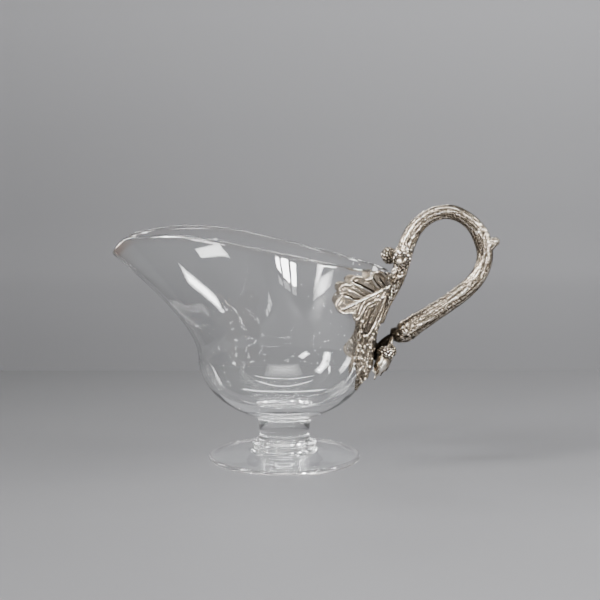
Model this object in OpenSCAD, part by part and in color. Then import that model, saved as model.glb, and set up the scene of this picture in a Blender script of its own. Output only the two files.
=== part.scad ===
// Footed glass sauce boat with a cast pewter oak-branch handle.
// Origin: centre of the flat ring the foot stands on. +X points to the handle, -X to the
// pouring lip, +Z is up. All lengths are millimetres, all angles degrees.
// Left means the left hand of someone pouring, which is the -Y side.

/* [Bowl] */
// Radius of the round belly
belly_r = 51.2; // [48:0.2:54]
// Height of the belly's widest ring
belly_z = 62; // [60:0.5:64]
// Depth of the rounded bottom below that ring
belly_depth = 38; // [37:0.5:39]
// Middle of the rim's length, measured from the foot's axis
rim_mid_x = -19; // [-21:0.5:-17]
// Half the rim's length from the back of the rim to the lip
rim_half_l = 82; // [80:0.5:84]
// Half the rim's greatest width
rim_half_w = 52; // [50:0.5:54]
// Height of the rim's highest point
rim_peak_z = 135.8; // [134:0.1:138]
// How steeply the rim runs down from its highest point
rim_slope = 20.5; // [18:0.5:22]
// Where the highest point lies, from -1 at the lip to 1 at the back
rim_peak_at = -0.5; // [-0.6:0.05:-0.4]
// Roundness of the rim's highest point
rim_peak_round = 0.35; // [0.25:0.05:0.45]

/* [Pouring lip] */
// How far the tip of the lip dips under the line of the rim
lip_drop = 8; // [5:0.5:10]
// Where the dip starts, as a share of the half length
lip_from = 0.86; // [0.8:0.01:0.9]
// How much the rim narrows towards the lip
lip_pinch = 0.45; // [0.3:0.05:0.6]
// Roundness of the lip's tip in plan
lip_round = 0.02; // [0.01:0.005:0.04]
// How much the throat is drawn in below the rim
throat_pinch = 0.1; // [0:0.02:0.14]
// Ease of the wall's outward sweep, small is sudden
flare_ease = 0.8; // [0.5:0.1:1.2]

/* [Glass thickness] */
// Wall of the bowl
wall_t = 2.2; // [1.8:0.1:2.6]
// Fire-polished bead at the rim
rim_t = 2.6; // [2.2:0.1:3]
// Glass under the middle of the bowl
bottom_t = 7; // [6:0.5:8]

/* [Stem and foot] */
// Radius where the stem meets the bowl
stem_top_r = 16.5; // [15.5:0.1:17]
// Radius where the stem meets its collar
stem_low_r = 14.8; // [14:0.1:15.5]
// Height of the collar's top
collar_top_z = 11.4; // [11:0.1:12]
// Height of the collar's underside
collar_low_z = 7.4; // [7:0.1:8]
// Radius of the collar
collar_r = 19.2; // [18:0.1:20]
// Radius of the foot
foot_r = 45.6; // [44:0.2:47]
// Thickness of the foot at its edge
foot_edge_t = 2.8; // [2.2:0.1:3.2]
// Depth of the hollow under the foot
foot_hollow = 4; // [3:0.2:4.2]
// Width of the flat ring the foot stands on
foot_ring_w = 1.4; // [1:0.1:2]

/* [Leaves] */
// Thickness of the cast leaves
leaf_t = 1.4; // [1.2:0.1:1.6]
// Height of the raised midrib above a leaf
rib_h = 0.9; // [0.6:0.1:1.2]
// Gap between glass and leaf, filled with adhesive under the pads
bond_gap = 0.4; // [0.35:0.05:0.5]
// Length of each side leaf
side_leaf_l = 56; // [52:1:58]
// Half width of the side leaf above its midrib
side_leaf_up = 15.5; // [13:0.5:15.5]
// Half width of the side leaf below its midrib
side_leaf_down = 9.5; // [8:0.5:9.5]
// Length of the forked leaf that runs down the back, to its two tips
back_leaf_l = 57; // [54:1:58]
// Half width of that leaf
back_leaf_w = 36; // [32:0.5:36]

/* [Acorns] */
// Radius of the nut, on the two hanging acorns
low_nut_r = 4.2; // [3.9:0.1:4.3]
// Length of nut that shows below a cup, on the two hanging acorns
low_nut_l = 15; // [12:0.5:16]
// Radius of the nut, on the two acorns at the rim
high_nut_r = 3.6; // [3.3:0.1:4]
// Length of nut that shows below a cup, on the two acorns at the rim
high_nut_l = 6; // [5:0.5:8]
// Outer radius of the cup
cup_r = 5.2; // [5:0.1:5.4]
// Height of the cup
cup_h = 6.0; // [5.5:0.1:6.5]
// Radius of an acorn's stalk
stalk_r = 1.3; // [1.1:0.1:1.4]

/* [Hidden] */
glass_tint = [0.86, 0.92, 0.95, 0.35];
pewter = [0.66, 0.62, 0.56];
dark_pewter = [0.42, 0.39, 0.35];
adhesive_tint = [0.93, 0.93, 0.90, 0.5];
$fn = 64;

// Counts of facets in the shells and sweeps
bowl_sides = 72;
low_rows = 8;
high_rows = 12;
bead_rows = 4;
branch_sides = 16;
twig_sides = 10;
spline_steps = 4;
leaf_rows = 34;
leaf_cols = 6;
pad_rows = 10;
pad_cols = 6;

// Where the bottom of the bowl is cut flat for the stem
stem_top_z = belly_z - belly_depth * sqrt(1 - pow(stem_top_r / belly_r, 2));
// Arc length along the back of the bowl that one degree spans, and how it grows
arc_per_deg = 0.9;
arc_ease = 0.0000415;
// A side leaf's midrib starts at this angle and height, and falls at this slope; the two differ a little
side_leaf_from = 2;
left_leaf_z = 108.5;
left_leaf_tilt = 15.6;
right_leaf_z = 107;
right_leaf_tilt = 20;
// Lobes of a side leaf as [where along it, half width, reach], all as shares
side_lobes_up = [[0.2, 0.12, 0.36], [0.43, 0.14, 0.73], [0.66, 0.14, 1],
    [0.84, 0.1, 0.87], [0.95, 0.07, 0.45]];
side_lobes_down = [[0.3, 0.32, 0.5], [0.73, 0.09, 1], [0.88, 0.12, 0.42]];
// The back leaf is forked: its middle ends this much above its tips
back_leaf_fork = 14.5;
back_leaf_z = 103.4;

// Branch centreline as [x, y, z, radius], from the leaves over the top to the cut end
branch_path = [
    [57.7, 0, 82, 1.6], [59.6, 0, 88, 2.0], [61.6, 0, 94, 2.5], [64.4, 0, 101, 3.4],
    [67.2, 0, 108.5, 4.3], [69.2, 0, 116, 4.8], [71.0, 0, 123, 5.1],
    [73.2, 0, 130, 5.1], [76.6, 0, 137, 4.9], [82.4, 0, 143, 4.6], [90, 0, 147, 4.4],
    [98, 0, 147.6, 4.4], [105.8, 0, 144.8, 4.5], [112.6, 0, 139, 4.8], [117, 0, 131.4, 5.2],
    [118.8, 0, 122.4, 4.9], [117.2, 0, 114, 4.9], [112.4, 0, 106.2, 5.1], [104.6, 0, 99, 5.3],
    [95.6, 0, 92.4, 5.4], [86.6, 0, 86.4, 5.7], [78.6, 0, 81.2, 6.1], [72.6, 0, 77, 6.6],
    [68.4, 0, 75.3, 5.7], [65.4, 0, 75.4, 3.9], [63.4, 0, 75.6, 2.9]];
// The twig that ties the cut end to the back leaf
tie_path = [[66.5, 0, 74.4, 2.6], [62.6, 0, 72.4, 2.8], [58.6, 0, 69, 2.7], [54.8, 0, 63.6, 2.6]];
// Broken side twig on the outside of the branch: root, tip and radii
stub_root = [119.4, 0, 128.2];
stub_tip = [127.2, 0, 131];
stub_root_r = 4.5;
stub_tip_r = 2.6;
stub_pit = 1.2;

// Acorns: top of the cup and the direction in which the nut points
upper_left_top = [69.6, -6.6, 121.6];
upper_left_dir = [-0.16, -0.95, -0.26];
upper_right_top = [64.8, 5.6, 122.6];
upper_right_dir = [-0.42, 0.84, -0.34];
lower_left_top = [61.7, -6.6, 68.2];
lower_left_dir = [-0.4, -0.12, -0.91];
lower_right_top = [63.6, 6.4, 68];
lower_right_dir = [-0.26, 0.16, -0.95];
// Where each stalk leaves the branch or the twig
upper_left_root = [72, -4, 128];
upper_right_root = [70, 2.5, 129.5];
lower_left_root = [64.8, -1.5, 74.2];
lower_right_root = [64.6, 1.5, 73.8];

// ---- small maths ----
function mix(a, b, t) = a + (b - a) * t;
function unit(v) = v / norm(v);
function mirrored(v) = [v[0], -v[1], v[2]];

// ---- the outer wall of the bowl ----
// Point of the rim at an angle: 0 at the handle, 180 at the lip
function rim_point(a) =
    let (
        c = cos(a),
        narrowing = lip_pinch * pow(max(0, -c), 2) / 2,
        dip = max(0, (-c - lip_from) / (1 - lip_from)))
    [rim_mid_x + rim_half_l * c,
     rim_half_w * sin(a) * pow((sin(a) * sin(a) + lip_round) / (1 + lip_round), narrowing),
     rim_peak_z - rim_slope * (norm([c - rim_peak_at, rim_peak_round]) - rim_peak_round)
         - lip_drop * dip * dip];

// Point of the outer wall at an angle and a height
function wall_point(a, z) = z < belly_z
    ? let (r = belly_r * sqrt(1 - pow((belly_z - z) / belly_depth, 2)))
        [r * cos(a), r * sin(a), z]
    : let (
        rim = rim_point(a),
        h = (z - belly_z) / (rim[2] - belly_z),
        sweep_out = (1 + flare_ease) * h * h / (h + flare_ease),
        drawn = 1 - throat_pinch * sin(180 * min(h, 1)) * pow(max(0, -cos(a)), 1.5))
        [mix(belly_r * cos(a), rim[0], sweep_out),
         mix(belly_r * sin(a), rim[1], sweep_out) * drawn,
         z];

// Direction up the wall, and out of it, at an angle and a height
function wall_up(a, z) = unit(wall_point(a, z + 0.5) - wall_point(a, z - 0.5));
function wall_out(a, z) =
    unit(cross(wall_point(a + 2, z) - wall_point(a - 2, z), wall_up(a, z)));

// Point a distance outside the wall, negative for inside
function off_wall(a, z, d) = wall_point(a, z) + d * wall_out(a, z);

// Angle round the bowl for an arc length from the middle of the back
function arc_angle(p) = p / arc_per_deg - arc_ease * pow(p, 3);

// ---- shells and sweeps ----
// Closed solid from equal rings, with flat or coned ends
module skin(rings, first, last) {
    n = len(rings[0]);
    m = len(rings);
    points = concat([for (ring = rings) each ring], [first, last]);
    faces = concat(
        [for (i = [0:m - 2], j = [0:n - 1])
            let (k = (j + 1) % n) each [
                [i * n + j, (i + 1) * n + k, i * n + k],
                [i * n + j, (i + 1) * n + j, (i + 1) * n + k]]],
        [for (j = [0:n - 1]) [m * n, j, (j + 1) % n]],
        [for (j = [0:n - 1]) [m * n + 1, (m - 1) * n + (j + 1) % n, (m - 1) * n + j]]);
    polyhedron(points = points, faces = faces);
}

// Catmull-Rom curve through control points of any dimension
function curve_point(p, i, t) =
    let (
        n = len(p) - 1,
        p0 = p[max(i - 1, 0)], p1 = p[i], p2 = p[min(i + 1, n)], p3 = p[min(i + 2, n)])
    0.5 * (2 * p1 + (p2 - p0) * t + (2 * p0 - 5 * p1 + 4 * p2 - p3) * t * t
        + (3 * p1 - p0 - 3 * p2 + p3) * t * t * t);
function curve(p, steps) = concat(
    [for (i = [0:len(p) - 2], k = [0:steps - 1]) curve_point(p, i, k / steps)],
    [p[len(p) - 1]]);

// Round bar along [x, y, z, radius] points, each ring square to the path
module bar(path, sides, steps) {
    line = curve(path, steps);
    n = len(line);
    mid = [for (q = line) [q[0], q[1], q[2]]];
    along = [for (i = [0:n - 1]) unit(mid[min(i + 1, n - 1)] - mid[max(i - 1, 0)])];
    rings = [for (i = [0:n - 1])
        let (
            side = unit(cross(along[i], [0.05, 1, 0.08])),
            top = cross(along[i], side))
        [for (j = [0:sides - 1])
            mid[i] + line[i][3] * (side * cos(360 * j / sides) + top * sin(360 * j / sides))]];
    skin(rings, mid[0], mid[n - 1]);
}

// Slab between two grids of points of the same size
module slab(inner, outer) {
    rows = len(inner);
    cols = len(inner[0]);
    size = rows * cols;
    points = concat([for (r = inner) each r], [for (r = outer) each r]);
    edge = concat(
        [for (j = [0:cols - 2]) j],
        [for (i = [0:rows - 2]) i * cols + cols - 1],
        [for (j = [cols - 1:-1:1]) (rows - 1) * cols + j],
        [for (i = [rows - 1:-1:1]) i * cols]);
    n = len(edge);
    faces = concat(
        [for (i = [0:rows - 2], j = [0:cols - 2])
            let (a = i * cols + j, b = a + 1, c = a + cols + 1, d = a + cols) each [
                [a, b, c], [a, c, d],
                [size + a, size + c, size + b], [size + a, size + d, size + c]]],
        [for (i = [0:n - 1])
            let (a = edge[i], b = edge[(i + 1) % n]) each [
                [a, size + a, size + b], [a, size + b, b]]]);
    polyhedron(points = points, faces = faces);
}

// Moves z = 0 to a point, with +Z turned to a direction
module aim(at, dir) {
    d = unit(dir);
    translate(at)
        rotate([0, acos(d[2]), atan2(d[1], d[0])])
            children();
}

// ---- glass ----
module bowl() {
    step = 360 / bowl_sides;
    low_angle = asin(stem_top_r / belly_r);
    // Thickness from the flat bottom, angle 0, to the belly, angle 90
    function low_t(b) = mix(wall_t, bottom_t, pow(cos(b), 6));
    function low_z(b) = belly_z - belly_depth * cos(b);
    function high_z(a, h) = mix(belly_z, rim_point(a)[2], h);
    function high_t(h) = mix(wall_t, rim_t, pow(h, 6));
    function ring(f) = [for (j = [0:bowl_sides - 1]) f(j * step)];
    low = [for (i = [0:low_rows - 1])
        let (b = mix(low_angle, 90, i / low_rows)) ring(function(a) wall_point(a, low_z(b)))];
    high = [for (i = [0:high_rows])
        let (h = i / high_rows) ring(function(a) wall_point(a, high_z(a, h)))];
    bead = [for (i = [1:bead_rows - 1])
        let (b = 180 * i / bead_rows)
        ring(function(a) let (z = high_z(a, 1))
            off_wall(a, z, rim_t * (cos(b) - 1) / 2) + wall_up(a, z) * sin(b) * rim_t / 2)];
    high_in = [for (i = [high_rows:-1:0])
        let (h = i / high_rows) ring(function(a) off_wall(a, high_z(a, h), -high_t(h)))];
    low_in = [for (i = [low_rows:-1:1])
        let (b = mix(10, 90, (i - 1) / low_rows))
        ring(function(a) off_wall(a, low_z(b), -low_t(b)))];
    color(glass_tint)
        skin(concat(low, high, bead, high_in, low_in),
            [0, 0, stem_top_z],
            [0, 0, belly_z - belly_depth + bottom_t]);
}

module stem() {
    color(glass_tint)
        translate([0, 0, collar_top_z])
            cylinder(h = stem_top_z - collar_top_z, r1 = stem_low_r, r2 = stem_top_r);
}

// Flattened button of glass between stem and foot
module stem_collar() {
    t = collar_top_z - collar_low_z;
    color(glass_tint)
        translate([0, 0, collar_low_z])
            rotate_extrude()
                union() {
                    square([collar_r - t / 2, t]);
                    translate([collar_r - t / 2, t / 2]) circle(d = t, $fn = 32);
                }
}

// Low domed foot of even thickness, with a round edge and a flat ring to stand on
module foot() {
    r = foot_edge_t / 2;
    color(glass_tint)
        rotate_extrude()
            union() {
                polygon([[0, foot_hollow], [collar_r, foot_hollow],
                    [foot_r - r - foot_ring_w, 0], [foot_r - r, 0], [foot_r - r, foot_edge_t],
                    [collar_r, collar_low_z], [0, collar_low_z]]);
                translate([foot_r - r, r]) circle(r = r, $fn = 32);
            }
}

// ---- pewter branch ----
module branch_bar() {
    bar(branch_path, branch_sides, spline_steps);
}

module branch() {
    color(pewter) branch_bar();
}

module branch_stub() {
    reach = norm(stub_tip - stub_root);
    color(pewter)
        difference() {
            aim(stub_root, stub_tip - stub_root)
                difference() {
                    cylinder(h = reach, r1 = stub_root_r, r2 = stub_tip_r);
                    translate([0, 0, reach - stub_pit])
                        cylinder(h = stub_pit + 1, r1 = stub_tip_r * 0.4, r2 = stub_tip_r);
                }
            branch_bar();
        }
}

module tie_bar() {
    bar(tie_path, twig_sides, spline_steps);
}

module tie_twig() {
    color(dark_pewter)
        difference() {
            tie_bar();
            branch_bar();
            back_leaf_slab();
        }
}

// ---- leaves, laid on the wall of the bowl ----
// How far a leaf's edge reaches at a share s of its length, as a share of its widest
function lobed(s, lobes) =
    max(0.09, max([for (l = lobes) l[2] * sqrt(max(0, 1 - pow((s - l[0]) / l[1], 2)))]));

// Leaf points: s along the leaf, v across it from -1 to 1, d out from the glass
function side_leaf_point(s, v, d, z0, tilt) =
    let (
        reach = v > 0 ? side_leaf_up * lobed(s, side_lobes_up) : side_leaf_down * lobed(s, side_lobes_down),
        y = v * reach,
        x = side_leaf_l * s,
        along = x * cos(tilt) + y * sin(tilt),
        z = z0 - x * sin(tilt) + y * cos(tilt))
    off_wall(-side_leaf_from - arc_angle(along), z, d);

function back_leaf_point(s, v, d) =
    let (
        spread = 0.85 + 0.15 * min(1, max(0, (s - 0.12) / 0.15)),
        across = v * back_leaf_w * spread * (0.98 + 0.02 * cos(360 * 4 * s)),
        fall = back_leaf_l - back_leaf_fork * (1 - sin(180 * pow(abs(v), 2.6))),
        z = back_leaf_z - 0.28 * abs(across) * (1 - s) - fall * s)
    off_wall(-arc_angle(across), z, d);

function leaf_rib(v) = rib_h * pow(max(0, 1 - abs(v) * 2), 2);

module leaf_slab(f) {
    v_steps = [for (j = [-leaf_cols:leaf_cols]) j / leaf_cols];
    s_steps = [for (i = [0:leaf_rows]) i / leaf_rows];
    slab(
        [for (s = s_steps) [for (v = v_steps) f(s, v, bond_gap)]],
        [for (s = s_steps) [for (v = v_steps) f(s, v, bond_gap + leaf_t + leaf_rib(v))]]);
}

module back_leaf_slab() {
    leaf_slab(function(s, v, d) back_leaf_point(s, v, d));
}

module side_leaf(z0, tilt) {
    color(pewter)
        difference() {
            leaf_slab(function(s, v, d) side_leaf_point(s, v, d, z0, tilt));
            branch_bar();
        }
}

module back_leaf() {
    color(pewter)
        difference() {
            back_leaf_slab();
            branch_bar();
        }
}

module left_leaf() {
    side_leaf(left_leaf_z, left_leaf_tilt);
}

module right_leaf() {
    mirror([0, 1, 0]) side_leaf(right_leaf_z, right_leaf_tilt);
}

// ---- acorns ----
// Nut on its axis, from inside the cup at z = 0 to its point
module nut(nut_r, nut_l) {
    body = cup_h - 1.6;
    color(pewter)
        rotate_extrude()
            polygon(concat(
                [[0, 1.2]],
                [for (b = [0:10:90]) [nut_r * sin(b), 1.2 + (body - 1.2) * (1 - cos(b))]],
                [for (b = [10:10:80])
                    [nut_r * pow(cos(b), 0.75), body + (nut_l + 0.4) * sin(b) * 0.86]],
                [[0.5, body + nut_l * 0.95], [0, cup_h + nut_l]]));
}

// Cup around the nut, with a flat top for the stalk
module cup(nut_r) {
    body = cup_h - 1.6;
    color(dark_pewter)
        difference() {
            rotate_extrude()
                polygon(concat(
                    [[0, 0], [stalk_r, 0]],
                    [for (b = [25:13:90]) [cup_r * sin(b), cup_h * 0.8 * (1 - cos(b))]],
                    [[cup_r - 0.2, cup_h - 0.3], [nut_r + 0.2, cup_h], [0, cup_h]]));
            rotate_extrude()
                polygon(concat(
                    [[0, 1.2]],
                    [for (b = [0:10:90]) [nut_r * sin(b), 1.2 + (body - 1.2) * (1 - cos(b))]],
                    [[nut_r, cup_h + 1], [0, cup_h + 1]]));
        }
}

// Stalk from its root into the flat top of a cup
module stalk(root, top, dir) {
    u = unit(dir);
    rise = norm(top - root) / 3;
    color(dark_pewter)
        difference() {
            bar([[root[0], root[1], root[2], stalk_r],
                 [each (root + (top - u * rise - root) * 0.6), stalk_r],
                 [each (top - u * rise * 0.7), stalk_r * 0.95],
                 [each top, stalk_r * 0.9]], twig_sides, 3);
            branch_bar();
            tie_bar();
        }
}

// ---- adhesive under the leaves ----
module pad(f) {
    s_steps = [for (i = [0:pad_rows]) i / pad_rows];
    v_steps = [for (j = [0:pad_cols]) 2 * j / pad_cols - 1];
    slab(
        [for (s = s_steps) [for (v = v_steps) f(s, v, 0.1)]],
        [for (s = s_steps) [for (v = v_steps) f(s, v, bond_gap - 0.05)]]);
}

module back_adhesive() {
    color(adhesive_tint)
        pad(function(s, v, d) off_wall(-v * 8, mix(99, 64, s), d));
}

module side_adhesive(z0, tilt) {
    color(adhesive_tint)
        pad(function(s, v, d) off_wall(-mix(24, 48, s), z0 - mix(21, 42, s) * sin(tilt) + v * 3.5, d));
}

module left_adhesive() {
    side_adhesive(left_leaf_z, left_leaf_tilt);
}

module right_adhesive() {
    mirror([0, 1, 0]) side_adhesive(right_leaf_z, right_leaf_tilt);
}

bowl();
stem();
stem_collar();
foot();
branch();
branch_stub();
tie_twig();
back_leaf();
left_leaf();
right_leaf();
aim(upper_left_top, upper_left_dir) cup(high_nut_r);  // upper_left_cup
aim(upper_left_top, upper_left_dir) nut(high_nut_r, high_nut_l);  // upper_left_nut
stalk(upper_left_root, upper_left_top, upper_left_dir);  // upper_left_stalk
aim(upper_right_top, upper_right_dir) cup(high_nut_r);  // upper_right_cup
aim(upper_right_top, upper_right_dir) nut(high_nut_r, high_nut_l);  // upper_right_nut
stalk(upper_right_root, upper_right_top, upper_right_dir);  // upper_right_stalk
aim(lower_left_top, lower_left_dir) cup(low_nut_r);  // lower_left_cup
aim(lower_left_top, lower_left_dir) nut(low_nut_r, low_nut_l);  // lower_left_nut
stalk(lower_left_root, lower_left_top, lower_left_dir);  // lower_left_stalk
aim(lower_right_top, lower_right_dir) cup(low_nut_r);  // lower_right_cup
aim(lower_right_top, lower_right_dir) nut(low_nut_r, low_nut_l);  // lower_right_nut
stalk(lower_right_root, lower_right_top, lower_right_dir);  // lower_right_stalk
back_adhesive();
left_adhesive();
right_adhesive();
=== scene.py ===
import math

import bpy
import numpy as np
from mathutils import Matrix, Vector


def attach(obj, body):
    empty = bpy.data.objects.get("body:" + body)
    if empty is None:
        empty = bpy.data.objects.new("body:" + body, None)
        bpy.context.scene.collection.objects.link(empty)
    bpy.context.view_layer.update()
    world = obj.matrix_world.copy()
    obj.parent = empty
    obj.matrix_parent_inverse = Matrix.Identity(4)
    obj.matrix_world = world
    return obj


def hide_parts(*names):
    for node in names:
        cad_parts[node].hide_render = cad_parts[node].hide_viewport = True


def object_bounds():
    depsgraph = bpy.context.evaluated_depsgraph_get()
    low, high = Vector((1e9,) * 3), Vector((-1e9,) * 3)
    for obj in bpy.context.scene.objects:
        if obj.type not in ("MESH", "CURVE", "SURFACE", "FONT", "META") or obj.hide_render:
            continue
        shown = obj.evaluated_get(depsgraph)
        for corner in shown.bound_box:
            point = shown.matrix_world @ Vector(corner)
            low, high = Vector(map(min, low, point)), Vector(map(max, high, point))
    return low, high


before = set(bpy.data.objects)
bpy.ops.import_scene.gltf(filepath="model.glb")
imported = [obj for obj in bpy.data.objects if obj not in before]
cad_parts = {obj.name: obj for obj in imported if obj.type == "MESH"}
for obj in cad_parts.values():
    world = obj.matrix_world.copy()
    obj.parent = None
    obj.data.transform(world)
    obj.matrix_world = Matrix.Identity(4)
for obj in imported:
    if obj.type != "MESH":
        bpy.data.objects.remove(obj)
CAD_LOW, CAD_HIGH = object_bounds()

# Lengths are millimetres in the CAD's frame, which mesh_piece() turns into metres, down to the backdrop.
MM = 0.001

# Bowl, the same numbers and formulas as the CAD's
BELLY_R, BELLY_Z, BELLY_DEPTH = 51.2, 62.0, 38.0
RIM_MID_X, RIM_HALF_L, RIM_HALF_W = -19.0, 82.0, 52.0
RIM_PEAK_Z, RIM_SLOPE, RIM_PEAK_AT, RIM_PEAK_ROUND = 135.8, 20.5, -0.5, 0.35
LIP_DROP, LIP_FROM, LIP_PINCH, LIP_ROUND = 8.0, 0.86, 0.45, 0.02
THROAT_PINCH, FLARE_EASE = 0.1, 0.8
WALL_T, RIM_T, BOTTOM_T = 2.2, 2.6, 7.0
STEM_TOP_R, COLLAR_R, FOOT_R, FOOT_EDGE_T = 16.5, 19.2, 45.6, 2.8
COLLAR_ROUND, COLLAR_MID_Z, FOOT_HOLLOW_Z = 2.1, 9.2, 4.0

INSET = 0.02  # how far the visual stays inside the CAD's box

# ---------------------------------------------------------------- noise


def make_noise(seed):
    """Smooth 3-D gradient noise in about -1..1, the same on every run."""
    rng = np.random.default_rng(seed)
    perm = rng.permutation(256)
    perm = np.concatenate([perm, perm])
    grads = rng.normal(size=(256, 3))
    grads /= np.linalg.norm(grads, axis=1)[:, None]

    def noise(x, y, z):
        x, y, z = np.broadcast_arrays(x, y, z)
        cell = [np.floor(c).astype(int) for c in (x, y, z)]
        part = [c - i for c, i in zip((x, y, z), cell)]
        ease = [p * p * p * (p * (p * 6 - 15) + 10) for p in part]
        total = 0.0
        for dx in (0, 1):
            for dy in (0, 1):
                for dz in (0, 1):
                    h = perm[(cell[0] + dx) & 255]
                    h = perm[h + ((cell[1] + dy) & 255)]
                    g = grads[perm[h + ((cell[2] + dz) & 255)]]
                    dot = g[..., 0] * (part[0] - dx) + g[..., 1] * (part[1] - dy) + g[..., 2] * (part[2] - dz)
                    w = 1.0
                    for d, e in zip((dx, dy, dz), ease):
                        w = w * (e if d else 1 - e)
                    total = total + w * dot
        return total * 1.6

    return noise


NOISE = make_noise(7)


def smoothstep(a, b, x):
    """0 at a, 1 at b, eased in between."""
    t = np.clip((x - a) / (b - a), 0, 1)
    return t * t * (3 - 2 * t)


def mix(a, b, t):
    return a + (b - a) * t


def hump(x, centre, width):
    """Bell curve of height 1."""
    return np.exp(-((x - centre) / width) ** 2)


def blur(h, n_rows, n_cols, wrap):
    """Mean over a window of a grid; wrap says whether the columns close on themselves."""
    def run(a, n, axis, closed):
        total = np.zeros_like(a)
        for k in range(-n, n + 1):
            if closed:
                total += np.roll(a, k, axis)
            else:
                i = np.clip(np.arange(a.shape[axis]) + k, 0, a.shape[axis] - 1)
                total += np.take(a, i, axis)
        return total / (2 * n + 1)

    for _ in range(2):
        h = run(h, n_rows, 0, False)
        h = run(h, n_cols, 1, wrap)
    return h


# ---------------------------------------------------------------- meshes


def clip_to_cad(v):
    """Keeps points just inside the CAD's box."""
    return np.clip(v, np.array(CAD_LOW) / MM + INSET, np.array(CAD_HIGH) / MM - INSET)


def mesh_piece(name, verts, faces, nodes, material, attributes=None):
    """One closed visual piece in the CAD's frame that replaces the CAD nodes it names."""
    verts = clip_to_cad(np.asarray(verts, float))
    me = bpy.data.meshes.new(name)
    me.from_pydata((verts * MM).tolist(), [], faces)
    me.update()
    me.shade_smooth()
    for key, values in (attributes or {}).items():
        layer = me.attributes.new(key, "FLOAT", "POINT")
        layer.data.foreach_set("value", np.asarray(values, float).ravel())
    me.materials.append(material)
    obj = bpy.data.objects.new(name, me)
    bpy.context.scene.collection.objects.link(obj)
    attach(obj, "root")
    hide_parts(*nodes)


def tube_faces(rows, cols):
    """Faces of rings closed at both ends by one centre point each (the last two points)."""
    faces = []
    for i in range(rows - 1):
        for j in range(cols):
            k = (j + 1) % cols
            faces.append((i * cols + j, i * cols + k, (i + 1) * cols + k, (i + 1) * cols + j))
    a, b = rows * cols, rows * cols + 1
    for j in range(cols):
        k = (j + 1) % cols
        faces.append((a, k, j))
        faces.append((b, (rows - 1) * cols + j, (rows - 1) * cols + k))
    return faces


def tube_piece(name, rings, first, last, nodes, material, attributes=None):
    """A piece made of rings of points, closed by one point at each end."""
    rows, cols = rings.shape[:2]
    verts = np.vstack([rings.reshape(-1, 3), [first], [last]])
    attrs = {k: np.concatenate([np.asarray(v).ravel(), [np.mean(v[0]), np.mean(v[-1])]])
             for k, v in (attributes or {}).items()}
    mesh_piece(name, verts, tube_faces(rows, cols), nodes, material, attrs)


# ---------------------------------------------------------------- wall of the bowl


def rim_point(a):
    """Middle of the rim's edge at an angle about the bowl; the lip is at 180 degrees."""
    c, s = np.cos(a), np.sin(a)
    bend = LIP_PINCH * np.maximum(0, -c) ** 2
    dip = np.maximum(0, (-c - LIP_FROM) / (1 - LIP_FROM))
    x = RIM_MID_X + RIM_HALF_L * c
    y = RIM_HALF_W * s * ((s * s + LIP_ROUND) / (1 + LIP_ROUND)) ** (bend / 2)
    z = (RIM_PEAK_Z - RIM_SLOPE * (np.hypot(c - RIM_PEAK_AT, RIM_PEAK_ROUND) - RIM_PEAK_ROUND)
         - LIP_DROP * dip * dip)
    return x, y, z


def wall_point(a, z):
    """Point on the bowl's outer surface: round belly below BELLY_Z, opening out to the rim above it."""
    a, z = np.broadcast_arrays(np.asarray(a, float), np.asarray(z, float))
    low_r = BELLY_R * np.sqrt(np.maximum(1e-9, 1 - ((BELLY_Z - z) / BELLY_DEPTH) ** 2))
    rx, ry, rz = rim_point(a)
    h = np.maximum(0, (z - BELLY_Z) / (rz - BELLY_Z))
    out = (1 + FLARE_EASE) * h * h / (h + FLARE_EASE)
    drawn = 1 - THROAT_PINCH * np.sin(np.pi * np.minimum(h, 1)) * np.maximum(0, -np.cos(a)) ** 1.5
    low = z < BELLY_Z
    x = np.where(low, low_r * np.cos(a), mix(BELLY_R * np.cos(a), rx, out))
    y = np.where(low, low_r * np.sin(a), mix(BELLY_R * np.sin(a), ry, out) * drawn)
    return np.stack([x, y, z], -1)


def unit(v):
    return v / np.maximum(1e-12, np.linalg.norm(v, axis=-1, keepdims=True))


def wall_up(a, z):
    """Direction up along the bowl's outer surface."""
    return unit(wall_point(a, z + 0.5) - wall_point(a, z - 0.5))


def wall_out(a, z):
    """Direction straight out of the bowl's outer surface."""
    step = math.radians(1.0)
    return unit(np.cross(wall_point(a + step, z) - wall_point(a - step, z), wall_up(a, z)))


def off_wall(a, z, d):
    """Point a distance outside the bowl's outer surface, or inside it if negative."""
    return wall_point(a, z) + np.asarray(d)[..., None] * wall_out(a, z)


# ---------------------------------------------------------------- materials


def new_material(name):
    """Material with one Principled shader."""
    m = bpy.data.materials.new(name)
    m.use_nodes = True
    nodes, links = m.node_tree.nodes, m.node_tree.links
    nodes.clear()
    out = nodes.new("ShaderNodeOutputMaterial")
    bsdf = nodes.new("ShaderNodeBsdfPrincipled")
    links.new(bsdf.outputs[0], out.inputs["Surface"])
    return m, nodes, links, bsdf, out


def noise_node(nodes, links, scale, detail, rough=0.5):
    """Noise of 0 to 1 with a scale per metre."""
    coord = nodes.new("ShaderNodeTexCoord")
    tex = nodes.new("ShaderNodeTexNoise")
    tex.inputs["Scale"].default_value = scale
    tex.inputs["Detail"].default_value = detail
    tex.inputs["Roughness"].default_value = rough
    links.new(coord.outputs["Object"], tex.inputs["Vector"])
    return tex.outputs["Fac"]


def ramp_node(nodes, links, fac, stops):
    """Colour ramp through stops of (position, (r, g, b))."""
    ramp = nodes.new("ShaderNodeValToRGB")
    elements = ramp.color_ramp.elements
    while len(elements) < len(stops):
        elements.new(0.5)
    for element, (position, colour) in zip(elements, stops):
        element.position = position
        element.color = (*colour, 1)
    links.new(fac, ramp.inputs["Fac"])
    return ramp.outputs["Color"]


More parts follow.
